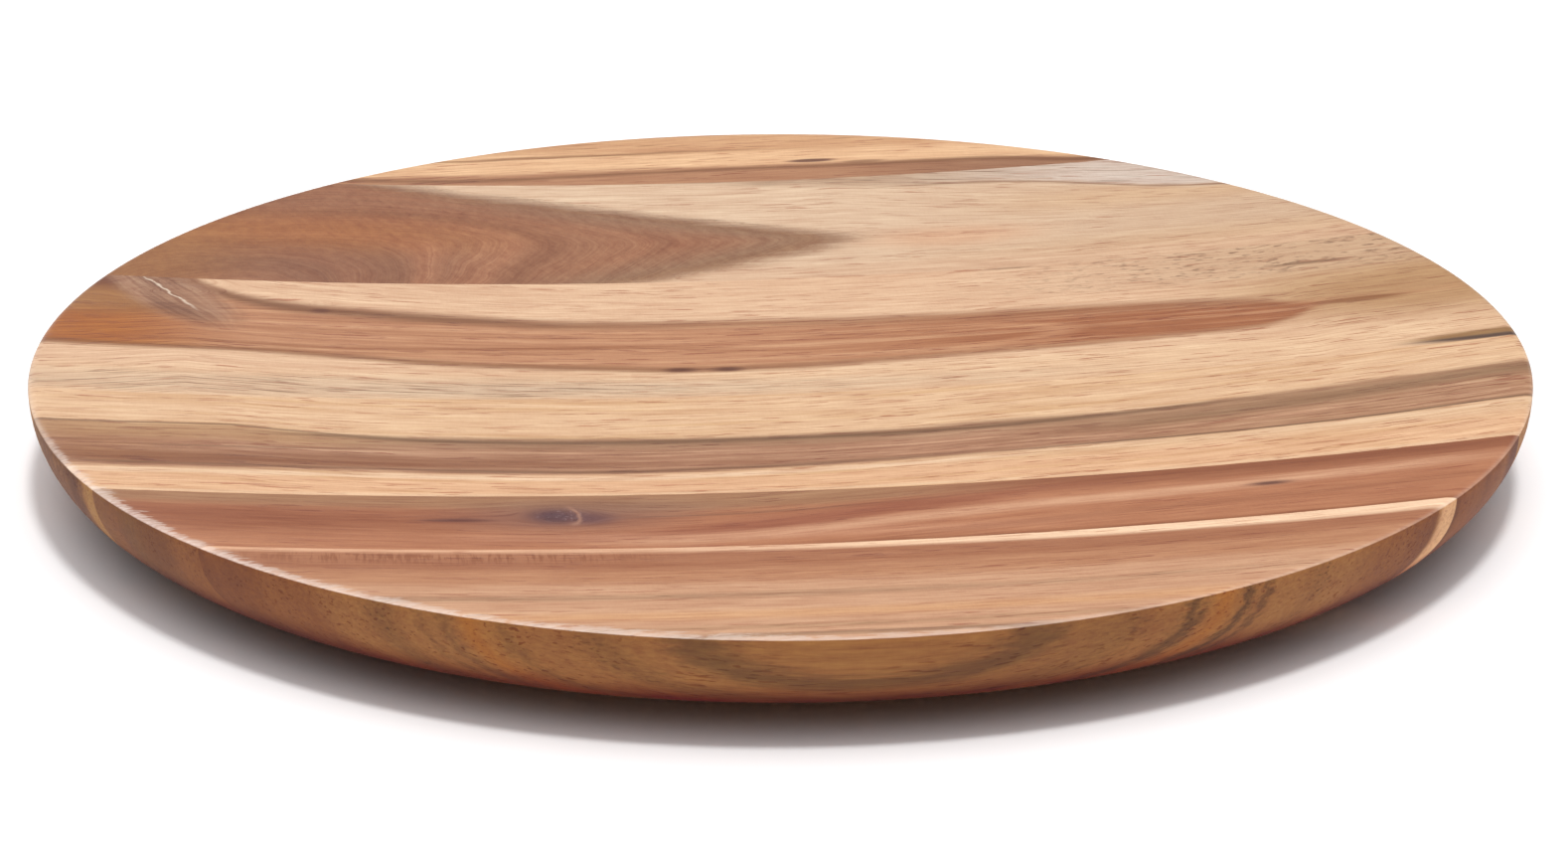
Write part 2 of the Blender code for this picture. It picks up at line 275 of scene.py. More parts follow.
class Wood(Paint):
    """A stave's solid wood, in mm. x runs along the board and y to the rear.

    depth is the distance below the dish, so that what shows on the dish runs down to the side;
    side is 1 below the dish and pale_side is where the side stays pale; v is y with a slight
    wander; and ragged is what feathers the edges of the bands.
    """

    def __init__(self, name, seed):
        super().__init__(name, IOR=1.45)
        self.seed = seed
        dish = (self.x * self.x + self.y * self.y) * (DISH_DEPTH * MM / (BOARD_RADIUS * MM) ** 2)
        self.depth = dish - self.z + (RIM_TOP - DISH_DEPTH) * MM
        self.side = (self.depth - 0.45).step(0.3)
        self.lay(self.y)
        self.v = self.y + self.noise((160, 50, 40), 1, seed + 1) * 0.9
        self.ragged = self.noise((50, 1.7, 2.0), 3, seed + 2, 0.65) * 2.1
        self.pale_side = 0.0

    def lay(self, across):
        """Sets the direction of the fibres: they run where this value stays the same."""
        self.grain = self.vector(self.x, across, self.depth)

    def curve(self, *points):
        """The height y of a smooth line across the board, through points (x, y) in mm."""
        node = self.tree.nodes.new("ShaderNodeFloatCurve")
        ends = [(-CURVE_SPAN / 2, points[0][1]), *points, (CURVE_SPAN / 2, points[-1][1])]
        places = [(x / CURVE_SPAN + 0.5, y / CURVE_SPAN + 0.5) for x, y in ends]
        line = node.mapping.curves[0]
        line.points[0].location = places[0]
        line.points[1].location = places[-1]
        for place in places[1:-1]:
            line.points.new(*place)
        for point in line.points:
            point.handle_type = "AUTO_CLAMPED"
        node.mapping.update()
        plug(self.tree, self.x / CURVE_SPAN + 0.5, node.inputs["Value"])
        return (Value(self.tree, node.outputs[0]) - 0.5) * CURVE_SPAN

    def below(self, line, soft, ragged=1.0):
        """1 in front of a line, with a feathered edge."""
        return (line - self.v + self.ragged * ragged).step(soft)

    def above(self, line, soft, ragged=1.0):
        return (self.v - line + self.ragged * ragged).step(soft)

    def right_of(self, x, soft):
        return (self.x - x).step(soft)

    def left_of(self, x, soft):
        return (x - self.x).step(soft)

    def along(self, left, right, soft):
        """1 between two places along the board."""
        return self.right_of(left, soft) * self.left_of(right, soft)

    def line(self, middle, width, ragged=0.7):
        """1 on a line across the board, fading to 0 at half its width."""
        away = self.v - middle + self.ragged * ragged
        return 1.0 - (away.absolute() - width / 4).step(width / 2)

    def spot(self, x, y, half_length, half_width, soft=0.8):
        """1 inside an ellipse, with a soft edge as a share of its size."""
        reach = hypotenuse((self.x - x) / half_length, (self.v - y) / half_width)
        return (1.0 - reach).step(soft)

    def eddy(self, across, x, y, half_length, half_width):
        """Bends the fibres' lines round a knot, as a stream bends round a stone."""
        dx = (self.x - x) / half_length
        dy = (across - y) / half_width
        away = dx * dx + dy * dy + 0.15
        return across - (across - y) / away

    def flecked(self, colour, dark, zone, lengths, share, seed=40):
        """Strews short dark dashes over a zone."""
        dashes = (self.noise(lengths, 2, self.seed + seed) - 0.55 + share).step(0.45)
        return self.mix(colour, dark, dashes * zone)

    def finish_wood(self, colour, flecks, streaks=1.0):
        """Adds what all the wood has: bands, fibres, dark pores, pale wear on the rim, a satin
        finish and a bump. It also paints shade low on the side and a sheen on the lip at the front
        left.
        """
        s = self.seed
        bands = self.noise((240, 5.0, 6.0), 3, s + 3)
        stripes = self.noise((70, 1.8, 2.2), 3, s + 4, 0.65)
        threads = self.noise((18, 0.8, 0.8), 3, s + 5, 0.65)
        hair = self.noise((0.8, 5.0, 5.0), 2, s + 6)
        mottle = self.noise((34, 12, 12), 3, s + 7)
        fibres = self.noise((36, 1.2, 1.3), 3, s + 10, 0.6)
        drawn = (-0.42 - fibres).step(0.3) * 0.16 - (fibres - 0.40).step(0.26) * 0.30
        tone = (bands * 0.09 + stripes * 0.20 + drawn) * streaks + threads * 0.40
        colour = self.shaded(colour, tone + mottle * 0.08 + hair * 0.05)
        crowd = (self.noise((60, 10, 10), 2, s + 9) + flecks).step(0.9)
        pores = (self.noise((12, 0.9, 0.9), 1, s + 8) - 0.40).step(0.2) * crowd * streaks
        colour = self.mix(colour, self.shaded(colour, -0.6), pores * 0.9)
        cloud = self.noise((26, 8, 16), 3, s + 11, 0.6)
        speckle = self.noise((4, 1.6, 1.6), 2, s + 12)
        to_rim = hypotenuse(self.x, self.y) - BOARD_RADIUS * MM
        # Painted shade: the side darkens towards the board's bottom edge, where it falls into
        # shadow.
        painted_low_shade = (16.0 - self.z).step(10) * (to_rim + 18.0).step(8)
        deep = self.tinted(colour, SIDE_TINT)
        deep = self.mix(deep, self.tinted(colour, PALE_SIDE_TINT), self.pale_side)
        deep = self.shaded(deep, cloud * 0.26 + speckle * 0.12 - painted_low_shade * 0.85)
        colour = self.mix(colour, deep, self.side)
        frayed = self.noise((7, 1.3, 1.3), 3, s + 13, 0.7) * 4.6
        frayed = frayed + self.noise((14, 14, 14), 1, s + 14) * 2.2
        # The lip is paled all round as wear. At the front left it is widened and streaked as a
        # painted sheen, a painted highlight.
        painted_sheen_streaks = self.noise((5, 1.0, 1.0), 3, s + 15, 0.7)
        painted_sheen_front_left = (-60.0 - self.y).step(80) * self.left_of(20, 190)
        lip = (to_rim + 0.7 + (2.0 + frayed) * painted_sheen_front_left).step(1.6) * (1.0 - self.side)
        wear_and_painted_sheen = self.mix(colour, wood(0.96, 0.895, 0.84), 0.62)
        colour = self.mix(colour, wear_and_painted_sheen, lip * (painted_sheen_front_left * (painted_sheen_streaks * 0.8 + 0.38) + 0.3))
        self.bump(threads * 0.5 + stripes * 0.6 - pores * 1.6 + lip * frayed * 0.4, WOOD_BUMP)
        roughness = 0.43 + threads * 0.05 + mottle * 0.03 + pores * 0.1 + self.side * 0.27
        return self.finish(colour, roughness)


# ---------------------------------------------------------------- the six staves' wood


# Growth rings that cross the front of the side: y in mm, width in mm, strength
RINGS_IN_FRONT = (
    (-224.6, 4.5, 0.35), (-219.0, 6.0, 0.25), (-208.8, 4.0, 0.85), (-200.8, 3.0, 0.9),
    (-197.6, 2.2, 0.7),
)


def wood_1():
    """Golden, with a thin dark line and a bowed red-brown band along the glue line."""
    w = Wood("acacia_1", 10)
    flow = w.curve((-134, 0), (-60, 9), (30, 14), (90, 10), (140, 0))
    w.lay(w.v - flow)
    colour = w.mix(wood(0.945, 0.77, 0.60), wood(0.87, 0.68, 0.515), w.above(211.5, 7))
    thread = w.curve((-97, 205.2), (-67, 208.6), (-31, 211.2), (-6, 212.9), (57, 212.5), (86, 208))
    thread = w.line(thread, 3.6, 0.3) * w.along(-120, 0, 90)
    colour = w.mix(colour, wood(0.56, 0.38, 0.24), thread * 0.75)
    colour = w.flecked(colour, wood(0.62, 0.44, 0.29), w.line(218, 12), (18, 0.8, 1), 0.1)
    top = w.curve(
        (-130, 189), (-99, 192), (-73, 194), (-49, 196.5), (-18, 198.5), (14, 198.5), (47, 197.5),
        (69, 196.5), (102, 194), (133, 188),
    )
    band = w.below(top, 5)
    red = w.mix(wood(0.74, 0.545, 0.415), wood(0.655, 0.48, 0.37), w.right_of(60, 90))
    colour = w.mix(colour, red, band)
    dark = w.curve(
        (-123, 187), (-73, 188.5), (-53, 191.5), (-18, 194.6), (21, 195.7), (91, 193.7), (133, 186),
    )
    colour = w.mix(colour, wood(0.50, 0.34, 0.24), w.line(dark, 6, 0.5) * 0.62)
    colour = w.mix(colour, wood(0.42, 0.27, 0.20), w.spot(32, 200.8, 8, 1.5) * 0.85)
    colour = w.mix(colour, wood(0.50, 0.34, 0.24), w.spot(50, 198, 7, 1.3) * 0.5)
    return w.finish_wood(colour, 0.05)


def wood_2():
    """Pale sapwood, with brown heartwood in nested arches that come to a point."""
    w = Wood("acacia_2", 30)
    dy = w.v - 129.5
    to_tip = ((w.x + 60) / 90).most(0.0).least(1.0)
    blunt = 12.0 - to_tip * 9.0
    rise = hypotenuse(dy, blunt) - blunt
    up_slope = 2.3 + to_tip * 0.7
    down_slope = 0.75 + to_tip * 1.35
    up = dy.step(6)
    arch = w.x - 38.0 + rise * (up_slope * up + down_slope * (1.0 - up))
    cone = w.x - 38.0 + ((dy * dy + 9.0).sqrt() - 3.0) * (up * 3.0 + (1.0 - up) * 2.15)
    feathered = cone + w.noise((38, 1.7, 3), 3, 31, 0.6) * 9 + w.noise((40, 16, 16), 1, 32) * 5
    whorl = hypotenuse((w.x + 166) * 0.55, w.v - 90)
    near = w.right_of(-118, 90)
    across = (whorl * 1.6 - 60) * (1.0 - near) + (arch * 0.75 + 117) * near
    across = across + w.noise((40, 40, 20), 3, 37) * 5
    sap_flow = w.v + (w.x - 37.0).most(0.0) * 0.20 * w.above(128, 70, 0)
    in_sap = feathered.step(22)
    w.lay(across * (1.0 - in_sap) + sap_flow * in_sap)
    colour = w.mix(wood(0.91, 0.785, 0.66), wood(0.875, 0.745, 0.62), w.right_of(90, 140))
    golden = w.line(150, 34, 0) * w.right_of(95, 70) + w.below(113, 22, 0) * w.right_of(80, 150)
    colour = w.mix(colour, wood(0.88, 0.72, 0.555), golden * 0.5)
    colour = w.mix(colour, wood(0.89, 0.735, 0.605), w.below(104.5, 14) * 0.7)
    grey_edge = w.curve((-20, 183), (25, 177.5), (58, 173.5), (97, 171), (171, 152.5))
    grey = w.above(grey_edge, 7) * w.along(-30, 220, 60)
    grey_wood = w.mix(wood(0.80, 0.675, 0.56), wood(0.87, 0.79, 0.725), w.right_of(90, 100))
    colour = w.mix(colour, grey_wood, grey)
    colour = w.flecked(colour, wood(0.56, 0.46, 0.37), grey * 0.75, (20, 0.9, 0.9), 0.22)
    thread = w.curve((71, 172.5), (97, 170.5), (171, 152.3))
    thread = w.line(thread, 3.0, 0.2) * w.along(60, 195, 50)
    colour = w.mix(colour, wood(0.62, 0.47, 0.35), thread * 0.7)
    colour = w.mix(colour, wood(0.88, 0.675, 0.53), w.spot(71, 125, 26, 8, 1.6) * 0.6)
    edge = (cone + 20).absolute()
    olive = 1.0 - (edge / 36).least(1.0)
    broad = w.noise((900, 22.0, 60), 2, 33)
    fine = w.noise((60, 2.2, 30), 3, 34, 0.65)
    fuzz = w.noise((3.2, 4.6, 3), 3, 38, 0.7, at=w.vector(w.x, w.v, w.depth))
    slanting = w.vector(w.x * 0.5 - w.v * 0.87, w.x * 0.87 + w.v * 0.5, w.depth)
    hatch = w.noise((16, 2.0, 3), 3, 39, 0.65, at=slanting) * w.right_of(-150, 60)
    heart = w.mix(wood(0.735, 0.52, 0.395), wood(0.57, 0.40, 0.31), broad * 1.2 + 0.42)
    heart = w.mix(heart, wood(0.68, 0.445, 0.29), w.spot(-150, 138, 62, 17, 1.5) * 0.8)
    heart = w.mix(heart, wood(0.57, 0.405, 0.325), w.spot(-165, 104, 60, 22, 1.4) * 0.55)
    heart = w.mix(heart, wood(0.68, 0.475, 0.30), w.spot(-207, 124, 34, 50, 1.6) * 0.7)
    heart = w.mix(heart, wood(0.63, 0.49, 0.39), olive * w.right_of(-80, 90) * 0.9)
    heart = w.mix(heart, wood(0.60, 0.46, 0.345), (feathered + 16).step(22) * 0.5)
    heart = w.shaded(heart, fine * 0.15 + fuzz * 0.34 + hatch * 0.22 - w.above(146, 18) * 0.08)
    colour = w.mix(colour, heart, 1.0 - (feathered - 1).step(30))
    return w.finish_wood(colour, 0.12, in_sap * 0.7 + 0.15)


def wood_3():
    """Pale, with a salmon stripe that runs to a point, and a swirled knot by the left rim."""
    w = Wood("acacia_3", 50)
    top = w.curve(
        (-223, 98), (-185, 98), (-177, 89), (-170, 82.5), (-158, 76), (-146, 72.3), (-124, 68.4),
        (-92, 63), (-65, 58.6), (5, 56.3), (63, 54.9), (121, 52), (147, 48), (160, 44.5), (168, 40),
        (192, 38),
    )
    bottom = w.curve(
        (-223, 31.4), (-170, 31.0), (-132, 25.7), (-97, 19.7), (-54, 15.4), (-25, 12.6), (5, 13.1),
        (63, 17), (121, 19), (155, 21), (166, 26), (176, 34), (192, 37.5),
    )
    middle = (top + bottom) * 0.5
    across = w.v - (middle - 36) * 0.6 * w.right_of(-200, 90)
    across = w.eddy(across, -186.0, 74.0, 20.0, 12.5)
    across = w.eddy(across, -140.0, 67.5, 5.0, 2.5)
    w.lay(across)
    colour = w.mix(wood(0.93, 0.775, 0.635), wood(0.945, 0.795, 0.645), w.below(12, 16))
    colour = w.mix(colour, wood(0.85, 0.70, 0.555), w.right_of(150, 80) * w.above(46, 30) * 0.8)
    colour = w.mix(colour, wood(0.765, 0.60, 0.435), w.spot(216, 42, 60, 24, 1.2) * 0.9)
    rim_flecks = w.right_of(100, 110) * w.above(66, 14, 0)
    colour = w.mix(colour, wood(0.83, 0.695, 0.57), rim_flecks * 0.5)
    colour = w.flecked(colour, wood(0.58, 0.45, 0.36), rim_flecks * 0.8, (4, 1.3, 1.3), 0.25, 41)
    grey_zone = w.spot(-150, -1, 120, 9, 1.2) + w.spot(-20, -4, 100, 7, 1.2) * 0.6
    colour = w.mix(colour, wood(0.855, 0.745, 0.635), grey_zone * 0.5)
    colour = w.flecked(colour, wood(0.60, 0.475, 0.38), grey_zone * 0.75, (24, 0.9, 0.9), 0.3)
    stripe = w.below(top, 7.0) * w.above(bottom, 6.0)
    red = w.mix(wood(0.805, 0.595, 0.455), wood(0.695, 0.46, 0.33), w.spot(125, 34, 100, 24, 1.3))
    veins = w.noise((170, 3.0, 5), 3, 52, 0.6)
    red = w.mix(red, wood(0.89, 0.70, 0.545), (veins - 0.22).step(0.5) * 0.55)
    red = w.mix(red, wood(0.66, 0.44, 0.32), (-0.26 - veins).step(0.5) * 0.5)
    loop = w.spot(68, 33.5, 30, 9, 0.5) - w.spot(61, 33.5, 27, 7, 0.5)
    red = w.mix(red, wood(0.86, 0.655, 0.50), loop.most(0.0) * 0.6)
    orange = w.mix(wood(0.66, 0.40, 0.185), wood(0.76, 0.49, 0.265), veins * 1.1 + 0.5)
    red = w.mix(red, orange, w.left_of(-182, 50))
    amber = w.mix(wood(0.655, 0.46, 0.30), wood(0.50, 0.315, 0.205), w.spot(-203, 88, 14, 9, 1.4))
    red = w.mix(red, amber, w.above(62, 16) * w.left_of(-180, 30))
    colour = w.mix(colour, red, stripe)
    brown = wood(0.47, 0.325, 0.22)
    upper = w.line(top - 3.0, 15) * (w.left_of(-60, 130) * 0.45 + 0.3) * w.along(-182, 165, 30)
    colour = w.mix(colour, brown, upper)
    lower = w.line(bottom + 1.0, 9, 0.8) * (w.left_of(20, 160) * 0.35 + 0.33)
    colour = w.mix(colour, wood(0.54, 0.36, 0.235), lower * w.left_of(168, 60))
    inner = w.curve((-190, 39), (-170, 38), (-135, 34.5), (-51, 34.5), (0, 31))
    inside = w.line(inner, 6, 0.8) * w.along(-195, -20, 50)
    colour = w.mix(colour, wood(0.62, 0.40, 0.28), inside * 0.6)
    vein = w.line(inner - 4.5, 3, 0.8) * w.along(-175, -60, 50)
    colour = w.mix(colour, wood(0.62, 0.41, 0.28), vein * 0.4)
    for x, y in ((-30.0, 13.4), (-15.0, 13.0)):
        colour = w.mix(colour, wood(0.44, 0.29, 0.20), w.spot(x, y, 4.5, 1.9, 1.4) * 0.9)
    colour = w.mix(colour, wood(0.44, 0.28, 0.19), w.spot(-140, 67.5, 3, 1.6, 1.2) * 0.7)
    colour = w.mix(colour, wood(0.56, 0.36, 0.24), w.spot(190, 36, 14, 2.0, 1.0) * 0.7)
    lengthways = (w.x + 187) * 0.54 - (w.v - 79) * 0.84
    sideways = (w.x + 187) * 0.84 + (w.v - 79) * 0.54 + w.noise((30, 18, 14), 1, 54) * 1.6
    reach = hypotenuse(lengthways / 30, sideways / 13.5)
    swirl = (1.0 - reach + w.ragged * 0.08).step(0.7)
    squeeze = (1.2 - (lengthways / 31) * (lengthways / 31)).most(0.2).sqrt()
    bent = w.vector(lengthways, (sideways + 1.5) / squeeze, w.depth)
    lines = w.noise((34, 2.4, 5), 3, 55, 0.65, at=bent)
    broad = w.noise((60, 8.0, 9), 2, 57, at=bent)
    whorl = w.mix(wood(0.69, 0.52, 0.42), wood(0.54, 0.39, 0.32), broad * 1.1 + 0.45)
    whorl = w.mix(whorl, wood(0.80, 0.65, 0.53), (lines - 0.2).step(0.8) * 0.6)
    whorl = w.mix(whorl, wood(0.47, 0.33, 0.27), (-0.3 - lines).step(0.8) * 0.5)
    colour = w.mix(colour, wood(0.68, 0.48, 0.32), w.spot(-207, 72, 16, 12, 1.2) * 0.5)
    colour = w.mix(colour, whorl, swirl * 0.92)
    crack = w.v - 91.0 + (w.x + 194.5) * 1.62 + w.noise((9, 9, 9), 2, 56) * 2.5
    crack = (1.0 - (crack.absolute() - 0.7).step(1.4)) * w.along(-196, -180, 5)
    colour = w.mix(colour, wood(0.93, 0.85, 0.76), crack * 0.95)
    gap = w.mix(wood(0.62, 0.47, 0.31), wood(0.30, 0.20, 0.12), w.below(-7.5, 3.0, 0.2))
    colour = w.mix(colour, gap, w.spot(224, -7.2, 28, 4.2, 0.7) * 0.9)
    colour = w.mix(colour, wood(0.46, 0.33, 0.23), w.spot(180, 73.5, 13, 1.0, 1.2) * 0.65)
    colour = w.mix(colour, wood(0.46, 0.33, 0.23), w.spot(84, 92, 8, 0.8, 1.2) * 0.5)
    return w.finish_wood(colour, 0.25)


def wood_4():
    """Golden, with a grey-brown stripe that bows a little and has dark edges."""
    w = Wood("acacia_4", 70)
    top = w.curve(
        (-223, -38), (-170, -36.6), (-156, -39.4), (-132, -44), (-97, -46), (-48, -47.5),
        (34, -47), (63, -44.2), (101, -43.4), (145, -39.4), (180, -36.6), (224, -34.3),
    )
    bottom = w.curve(
        (-211, -77.2), (-176, -76.3), (-141, -76.3), (-97, -78), (-54, -79.4), (-25, -78),
        (5, -76.3), (63, -71.8), (136, -69.4), (180, -67.1), (218, -64.9),
    )
    w.lay(w.v - (top + bottom) * 0.5)
    bottom = bottom - w.side * w.left_of(-150, 40) * 14.0
    colour = w.mix(wood(0.945, 0.79, 0.635), wood(0.95, 0.765, 0.605), w.below(-78, 14))
    pale_edge = w.line(bottom - 3.5, 7) * (w.left_of(60, 160) * 0.5 + 0.3)
    colour = w.mix(colour, wood(0.99, 0.86, 0.72), pale_edge)
    waves = w.noise((60, 3.5, 9), 3, 72, 0.6)
    colour = w.mix(colour, wood(0.83, 0.635, 0.44), (waves - 0.2).step(0.7) * 0.5)
    colour = w.mix(colour, wood(0.97, 0.83, 0.68), w.line(-96.8, 4.5, 0.3) * 0.6)
    stripe = w.below(top, 4.5, 1.1) * w.above(bottom, 4.0, 0.9)
    inside = w.mix(wood(0.725, 0.54, 0.43), wood(0.75, 0.575, 0.45), w.right_of(90, 120))
    pale = (w.noise((60, 2.4, 4), 3, 73, 0.6) - 0.1).step(0.6)
    inside = w.mix(inside, wood(0.86, 0.68, 0.55), pale * 0.75)
    dark_streaks = (w.noise((40, 2.2, 4), 3, 76, 0.65) - 0.15).step(0.7)
    inside = w.mix(inside, wood(0.62, 0.45, 0.345), dark_streaks * 0.55)
    inside = w.shaded(inside, w.noise((90, 1.9, 3), 3, 74, 0.65) * 0.28)
    low_left = w.line(bottom + 8, 21) * w.left_of(-40, 220)
    inside = w.mix(inside, wood(0.59, 0.40, 0.30), low_left * 0.85)
    olive = w.mix(wood(0.80, 0.64, 0.48), wood(0.675, 0.535, 0.42), w.right_of(-130, 60))
    shade = w.above(top - 9 - w.left_of(-140, 50) * 5, 8) * (1.0 - w.right_of(60, 150) * 0.3)
    inside = w.mix(inside, olive, shade * 0.75)
    slant = w.curve((50, -58), (100, -55), (145, -50), (224, -41))
    inside = w.mix(inside, wood(0.61, 0.48, 0.37), w.line(slant, 15) * w.right_of(90, 80) * 0.75)
    inside = w.mix(inside, wood(0.62, 0.42, 0.27), w.spot(-216, -58, 34, 16, 1.6) * 0.35)
    inside = w.shaded(inside, w.noise((50, 2.6, 3), 3, 75, 0.6) * w.left_of(-110, 90) * 0.3)
    colour = w.mix(colour, inside, stripe)
    dark = wood(0.42, 0.315, 0.235)
    ridge = w.curve((-160, -44), (-97, -49.5), (-48, -51), (34, -50.5), (101, -45.5), (145, -42))
    dark_lines = (
        w.line(ridge, 5.5, 0.5) * w.along(-150, 130, 50) * 0.6,
        w.line(bottom + 2.4, 4.4, 0.5) * w.along(-130, 40, 90) * 0.55,
        w.line(bottom + 0.6, 2.4, 0.2) * w.right_of(60, 90) * 0.75,
        w.line(top - 0.4, 2.6, 0.2) * w.left_of(-130, 50) * 0.6,
        w.line(-57.0, 2.6, 0.4) * w.along(-190, -130, 30) * 0.4,
        w.line(-73.5, 3.0, 0.4) * w.along(-210, -140, 30) * 0.45,
    )
    for mask in dark_lines:
        colour = w.mix(colour, dark, mask)
    return w.finish_wood(colour, 0.3)


def wood_5():
    """Red-brown, with an eye-shaped knot and a slanting red streak."""
    w = Wood("acacia_5", 90)
    left_side = w.side * w.left_of(-120, 40)
    rise = w.curve((-200, 0), (-100, -4), (-42, -4), (20, 4), (70, 9), (130, 11), (200, 10))
    x, y = -75.0, -116.5
    across = w.eddy(w.v - rise, x, y + 4.0, 12.0, 7.5)
    w.lay(across)
    dark_left = w.spot(-190, -119, 120, 12, 1.4)
    colour = w.mix(wood(0.765, 0.53, 0.40), wood(0.65, 0.42, 0.315), dark_left)
    grey_line = w.curve(
        (-200, -107), (-114, -109), (-20, -112), (57, -106), (114, -102), (200, -99),
    )
    colour = w.mix(colour, wood(0.70, 0.525, 0.40), w.above(grey_line, 8) * w.left_of(60, 100))
    colour = w.mix(colour, wood(0.58, 0.365, 0.275), w.above(-108, 14) * w.right_of(50, 80) * 0.8)
    tail = w.curve((-60, -118), (-28, -117), (20, -112), (60, -106))
    colour = w.mix(colour, wood(0.55, 0.39, 0.31), w.line(tail, 3.5) * w.along(-62, 50, 40) * 0.55)
    streak = w.curve(
        (-120, -140), (-42, -134), (-21, -128.4), (-1, -123.4), (19, -117), (45, -113), (70, -107),
    )
    red = wood(0.64, 0.40, 0.315)
    colour = w.mix(colour, red, w.line(streak + 1.0, 14) * w.along(-100, 80, 70) * 0.5)
    colour = w.mix(colour, red, w.line(streak + 0.5, 24) * w.along(-38, 40, 50) * 0.75)
    light = w.curve(
        (-57, -139.7), (-21, -136.2), (25, -125.8), (55, -120.8), (106, -117), (183, -113.2),
    )
    light = w.line(light, 13) * w.along(-60, 190, 60)
    colour = w.mix(colour, wood(0.885, 0.685, 0.55), light * 0.85)
    low = w.curve((0, -146), (30, -139.7), (81, -132), (132, -129.4), (183, -127))
    colour = w.mix(colour, wood(0.66, 0.44, 0.335), w.line(low, 9) * w.along(10, 220, 60) * 0.45)
    low_right = w.below(-143.6, 2.5, 0.3) * w.right_of(0, 120)
    colour = w.mix(colour, wood(0.60, 0.39, 0.28), low_right * 0.6)
    salmon = w.line(-136.0, 13) * w.along(-100, 60, 70)
    colour = w.mix(colour, wood(0.83, 0.61, 0.485), salmon * 0.5)
    ridges = w.noise((100, 2.4, 5), 3, 92, 0.65)
    colour = w.shaded(colour, ridges * 0.14)
    colour = w.mix(colour, wood(0.66, 0.51, 0.41), w.spot(-58, -110, 30, 7, 1.4) * 0.6)
    colour = w.mix(colour, wood(0.56, 0.415, 0.37), w.spot(x + 1, y - 0.5, 28, 12, 1.5) * 0.6)
    smudge = w.noise((9, 2.5, 5), 3, 93) * 0.25
    core = (w.spot(x - 1.5, y, 7.5, 7.0, 1.6) + smudge * 0.5).least(1.0)
    colour = w.mix(colour, wood(0.41, 0.305, 0.325), core * w.spot(x - 1.5, y, 12, 9, 1.5) * 0.95)
    colour = w.mix(colour, wood(0.46, 0.34, 0.35), w.spot(x + 8.5, y - 2.0, 6.0, 5.0, 1.8) * 0.8)
    wobble = w.noise((9, 9, 9), 2, 95)
    ring_x = (w.x - x - 2.5 + (w.v - y) * 0.12) / 3.2 + wobble * 0.35
    ring_y = (w.v - y - 1.0) / 8.0
    ring = (hypotenuse(ring_x, ring_y) - 1.0).absolute()
    loop = (1.0 - (ring * 3.6).least(1.0)) * (w.x - x - 3.0).step(4)
    colour = w.mix(colour, wood(0.80, 0.615, 0.515), loop * 0.6)
    glints = (w.noise((1.7, 4.5, 5.0), 2, 94) - 0.34).step(0.3) * w.spot(x, y + 1.5, 6, 5, 1.0)
    colour = w.mix(colour, wood(0.74, 0.64, 0.65), glints * 0.5)
    colour = w.mix(colour, wood(0.40, 0.25, 0.25), w.spot(-104, -119.7, 9, 1.6, 1.8) * 0.75)
    colour = w.mix(colour, wood(0.36, 0.20, 0.17), w.spot(128.5, -117.4, 5.6, 1.6, 1.6) * 0.8)
    colour = w.mix(colour, wood(0.80, 0.60, 0.46), left_side * 0.6)
    colour = w.mix(colour, wood(0.60, 0.48, 0.38), w.line(-118.0, 22) * left_side * 0.45)
    dull = w.spot(-186, -130, 12, 6, 1.2) * left_side
    colour = w.mix(colour, wood(0.50, 0.35, 0.33), dull * 0.3)
    return w.finish_wood(colour, 0.0, 0.8)


